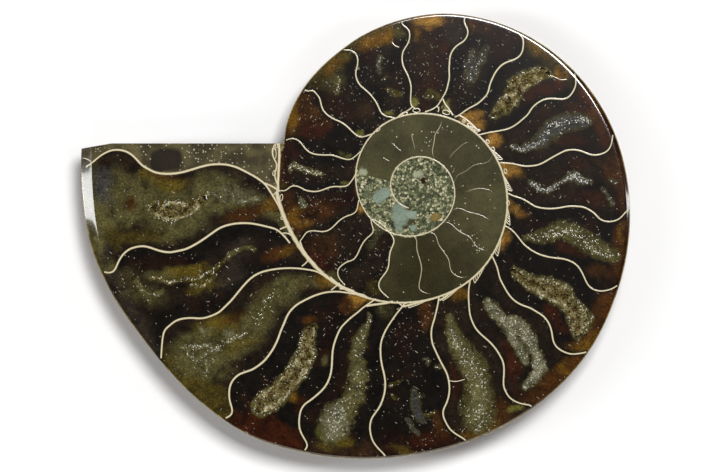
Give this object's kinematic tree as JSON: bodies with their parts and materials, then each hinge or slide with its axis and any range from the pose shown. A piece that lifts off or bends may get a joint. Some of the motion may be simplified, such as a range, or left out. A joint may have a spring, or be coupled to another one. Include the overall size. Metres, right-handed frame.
{
  "type": "ammonite fossil half",
  "caption": "Half of a coiled ammonite fossil, sawn along its middle and polished flat, with curved chamber walls, crystal-lined pockets and a rounded ribbed back.",
  "frame": {"origin": "middle of the stone's outline, at the surface that it lies on", "axes": "+Z out of the polished face, +X along the sawn end's edge towards the coil, which is the longest way across, +Y out of the sawn end"},
  "size_m": [0.1148, 0.093, 0.0128],
  "materials": {
    "polished_fossil_stone": "polished",
    "calcite_crystals": "crystalline"
  },
  "bodies": {
    "root": {"fossil_half": "polished_fossil_stone", "crystal_crust_left": "calcite_crystals", "crystal_crust_bottom": "calcite_crystals", "crystal_crust_right": "calcite_crystals", "crystal_crust_top": "calcite_crystals"}
  },
  "joints": []
}
